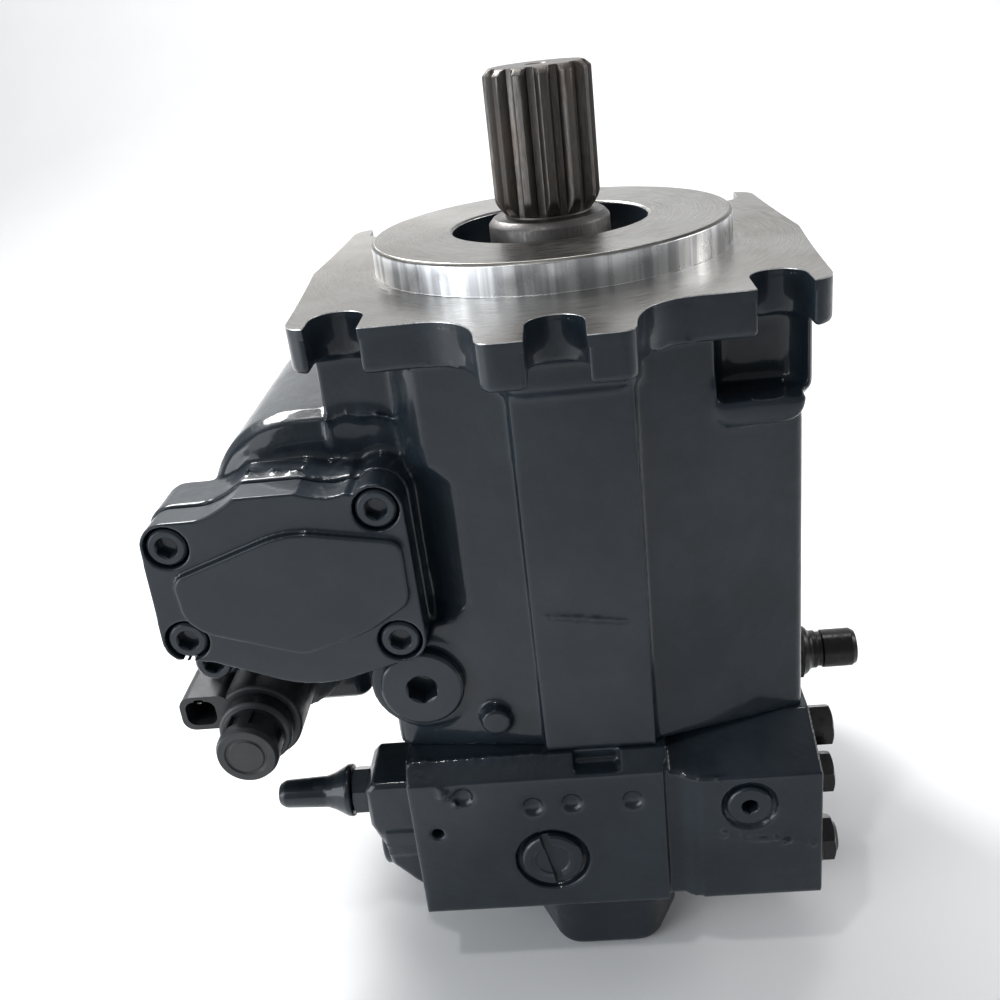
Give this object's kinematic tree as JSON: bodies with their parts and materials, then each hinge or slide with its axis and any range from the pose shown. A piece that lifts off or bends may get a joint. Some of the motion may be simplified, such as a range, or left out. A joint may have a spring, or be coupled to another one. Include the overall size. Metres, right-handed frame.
{
  "type": "axial piston pump",
  "caption": "Variable swashplate piston pump with splined shaft, slotted mounting flange, side stroking cylinder and solenoid-controlled valve.",
  "frame": {"origin": "middle of the flat underside of the boost pump cover, on the shaft axis", "axes": "+Z along the shaft axis towards the spline end, -Y out of the face with the stroking cylinder cover, +X away from the stroking cylinder"},
  "size_m": [0.311, 0.265, 0.383],
  "materials": {
    "paint": "dark blue-grey semi-gloss paint over cast iron, the flange face and pilot left machined",
    "shaft_steel": "machined and ground steel",
    "steel": "ground steel",
    "cast_steel": "machined cast iron",
    "bronze": "machined bronze",
    "black_steel": "black oxide steel",
    "black_plastic": "moulded black plastic",
    "seal_rubber": "matt nitrile rubber"
  },
  "bodies": {
    "case": {"adjusting_screw": "steel", "adjusting_screw_cap": "paint", "boost_pump_cover": "paint", "bypass_valve": "black_steel", "case_drain_plug": "paint", "centring_spring": "steel", "control_valve_body": "paint", "cover_screw_1": "paint", "cover_screw_2": "paint", "cover_screw_3": "paint", "cover_screw_4": "paint", "cradle_bearing_left": "bronze", "cradle_bearing_right": "bronze", "front_bearing_cup": "steel", "hex_socket_plug": "paint", "housing": "paint", "left_plug": "paint", "lug_screw": "paint", "port_plate": "paint", "rear_bearing_cup": "steel", "relief_valve": "black_steel", "shaft_seal": "seal_rubber", "side_plug_1": "black_steel", "side_plug_2": "black_steel", "slotted_plug": "paint", "solenoid_coil": "black_plastic", "solenoid_nut": "black_plastic", "stroking_cover": "paint", "valve_plate": "bronze"},
    "shaft": {"drive_shaft": "shaft_steel", "front_bearing_cone": "steel", "cylinder_block": "cast_steel", "block_spring": "steel", "boost_inner_gear": "steel"},
    "front_rollers": {"front_bearing_rollers": "steel"},
    "rear_rollers": {"rear_bearing_rollers": "steel"},
    "swash": {"swash_plate": "cast_steel"},
    "retainer": {"retaining_plate": "steel"},
    "stroking_piston": {"stroking_piston": "steel"},
    "lever": {"feedback_lever": "steel"},
    "spool": {"control_spool": "steel"},
    "ring_gear": {"boost_ring_gear": "steel"},
    "piston_1": {"piston_1": "steel"},
    "slipper_1": {"slipper_1": "bronze"},
    "piston_2": {"piston_2": "steel"},
    "slipper_2": {"slipper_2": "bronze"},
    "piston_3": {"piston_3": "steel"},
    "slipper_3": {"slipper_3": "bronze"},
    "piston_4": {"piston_4": "steel"},
    "slipper_4": {"slipper_4": "bronze"},
    "piston_5": {"piston_5": "steel"},
    "slipper_5": {"slipper_5": "bronze"},
    "piston_6": {"piston_6": "steel"},
    "slipper_6": {"slipper_6": "bronze"},
    "piston_7": {"piston_7": "steel"},
    "slipper_7": {"slipper_7": "bronze"},
    "piston_8": {"piston_8": "steel"},
    "slipper_8": {"slipper_8": "bronze"},
    "piston_9": {"piston_9": "steel"},
    "slipper_9": {"slipper_9": "bronze"}
  },
  "joints": [
    {"name": "shaft_spin", "type": "hinge", "parent": "case", "child": "shaft", "pos_m": [0, 0, 0.2], "axis": [0, 0, 1], "range_deg": [-360, 360]},
    {"name": "swash_tilt", "type": "hinge", "parent": "case", "child": "swash", "pos_m": [0, 0, 0.236], "axis": [1, 0, 0], "range_deg": [-17, 17]},
    {"name": "front_roller_spin", "type": "hinge", "parent": "case", "child": "front_rollers", "pos_m": [0, 0, 0.289], "axis": [0, 0, 1], "range_deg": [-168, 168]},
    {"name": "rear_roller_spin", "type": "hinge", "parent": "case", "child": "rear_rollers", "pos_m": [0, 0, 0.101], "axis": [0, 0, 1], "range_deg": [-160, 160]},
    {"name": "ring_gear_spin", "type": "hinge", "parent": "case", "child": "ring_gear", "pos_m": [0, 0.0026, 0.03], "axis": [0, 0, 1], "range_deg": [-309, 309]},
    {"name": "retainer_tilt", "type": "hinge", "parent": "shaft", "child": "retainer", "pos_m": [0, 0, 0.236], "axis": [1, 0, 0], "range_deg": [-17.1, 17.1]},
    {"name": "piston_1_stroke", "type": "slide", "parent": "shaft", "child": "piston_1", "axis": [0, 0, 1], "range_m": [-0.0142, 0.0142]},
    {"name": "slipper_1_tilt", "type": "hinge", "parent": "piston_1", "child": "slipper_1", "pos_m": [0, 0.046, 0.236], "axis": [1, 0, 0], "range_deg": [-17.1, 17.1]},
    {"name": "piston_2_stroke", "type": "slide", "parent": "shaft", "child": "piston_2", "axis": [0, 0, 1], "range_m": [-0.01088, 0.01088]},
    {"name": "slipper_2_tilt", "type": "hinge", "parent": "piston_2", "child": "slipper_2", "pos_m": [-0.02957, 0.03524, 0.236], "axis": [1, 0, 0], "range_deg": [-17.1, 17.1]},
    {"name": "piston_3_stroke", "type": "slide", "parent": "shaft", "child": "piston_3", "axis": [0, 0, 1], "range_m": [-0.00247, 0.00247]},
    {"name": "slipper_3_tilt", "type": "hinge", "parent": "piston_3", "child": "slipper_3", "pos_m": [-0.0453, 0.00799, 0.236], "axis": [1, 0, 0], "range_deg": [-17.1, 17.1]},
    {"name": "piston_4_stroke", "type": "slide", "parent": "shaft", "child": "piston_4", "axis": [0, 0, 1], "range_m": [-0.0071, 0.0071]},
    {"name": "slipper_4_tilt", "type": "hinge", "parent": "piston_4", "child": "slipper_4", "pos_m": [-0.03984, -0.023, 0.236], "axis": [1, 0, 0], "range_deg": [-17.1, 17.1]},
    {"name": "piston_5_stroke", "type": "slide", "parent": "shaft", "child": "piston_5", "axis": [0, 0, 1], "range_m": [-0.01335, 0.01335]},
    {"name": "slipper_5_tilt", "type": "hinge", "parent": "piston_5", "child": "slipper_5", "pos_m": [-0.01573, -0.04323, 0.236], "axis": [1, 0, 0], "range_deg": [-17.1, 17.1]},
    {"name": "piston_6_stroke", "type": "slide", "parent": "shaft", "child": "piston_6", "axis": [0, 0, 1], "range_m": [-0.01335, 0.01335]},
    {"name": "slipper_6_tilt", "type": "hinge", "parent": "piston_6", "child": "slipper_6", "pos_m": [0.01573, -0.04323, 0.236], "axis": [1, 0, 0], "range_deg": [-17.1, 17.1]},
    {"name": "piston_7_stroke", "type": "slide", "parent": "shaft", "child": "piston_7", "axis": [0, 0, 1], "range_m": [-0.0071, 0.0071]},
    {"name": "slipper_7_tilt", "type": "hinge", "parent": "piston_7", "child": "slipper_7", "pos_m": [0.03984, -0.023, 0.236], "axis": [1, 0, 0], "range_deg": [-17.1, 17.1]},
    {"name": "piston_8_stroke", "type": "slide", "parent": "shaft", "child": "piston_8", "axis": [0, 0, 1], "range_m": [-0.00247, 0.00247]},
    {"name": "slipper_8_tilt", "type": "hinge", "parent": "piston_8", "child": "slipper_8", "pos_m": [0.0453, 0.00799, 0.236], "axis": [1, 0, 0], "range_deg": [-17.1, 17.1]},
    {"name": "piston_9_stroke", "type": "slide", "parent": "shaft", "child": "piston_9", "axis": [0, 0, 1], "range_m": [-0.01088, 0.01088]},
    {"name": "slipper_9_tilt", "type": "hinge", "parent": "piston_9", "child": "slipper_9", "pos_m": [0.02957, 0.03524, 0.236], "axis": [1, 0, 0], "range_deg": [-17.1, 17.1]},
    {"name": "stroking_piston_travel", "type": "slide", "parent": "case", "child": "stroking_piston", "axis": [0, 1, 0], "range_m": [-0.00886, 0.00886]},
    {"name": "feedback_lever_swing", "type": "hinge", "parent": "case", "child": "lever", "pos_m": [-0.13, 0, 0.15], "axis": [1, 0, 0], "range_deg": [-13.2, 13.2]},
    {"name": "control_spool_travel", "type": "slide", "parent": "case", "child": "spool", "axis": [0, 1, 0], "range_m": [-0.00386, 0.00386]}
  ],
  "couplings": [
    {"joint": "front_roller_spin", "follows": "shaft_spin", "ratio": 0.46483},
    {"joint": "rear_roller_spin", "follows": "shaft_spin", "ratio": 0.44335},
    {"joint": "ring_gear_spin", "follows": "shaft_spin", "ratio": 0.85714},
    {"joint": "retainer_tilt", "follows": "swash_tilt", "ratio": 1},
    {"joint": "piston_1_stroke", "follows": "swash_tilt", "m_per_rad": 0.047399},
    {"joint": "slipper_1_tilt", "follows": "swash_tilt", "ratio": 1},
    {"joint": "piston_2_stroke", "follows": "swash_tilt", "m_per_rad": 0.03631},
    {"joint": "slipper_2_tilt", "follows": "swash_tilt", "ratio": 1},
    {"joint": "piston_3_stroke", "follows": "swash_tilt", "m_per_rad": 0.0082308},
    {"joint": "slipper_3_tilt", "follows": "swash_tilt", "ratio": 1},
    {"joint": "piston_4_stroke", "follows": "swash_tilt", "m_per_rad": -0.0237},
    {"joint": "slipper_4_tilt", "follows": "swash_tilt", "ratio": 1},
    {"joint": "piston_5_stroke", "follows": "swash_tilt", "m_per_rad": -0.044541},
    {"joint": "slipper_5_tilt", "follows": "swash_tilt", "ratio": 1},
    {"joint": "piston_6_stroke", "follows": "swash_tilt", "m_per_rad": -0.044541},
    {"joint": "slipper_6_tilt", "follows": "swash_tilt", "ratio": 1},
    {"joint": "piston_7_stroke", "follows": "swash_tilt", "m_per_rad": -0.0237},
    {"joint": "slipper_7_tilt", "follows": "swash_tilt", "ratio": 1},
    {"joint": "piston_8_stroke", "follows": "swash_tilt", "m_per_rad": 0.0082308},
    {"joint": "slipper_8_tilt", "follows": "swash_tilt", "ratio": 1},
    {"joint": "piston_9_stroke", "follows": "swash_tilt", "m_per_rad": 0.03631},
    {"joint": "slipper_9_tilt", "follows": "swash_tilt", "ratio": 1},
    {"joint": "stroking_piston_travel", "follows": "swash_tilt", "m_per_rad": 0.029562},
    {"joint": "feedback_lever_swing", "follows": "swash_tilt", "ratio": -0.76453},
    {"joint": "control_spool_travel", "follows": "swash_tilt", "m_per_rad": -0.012886}
  ]
}
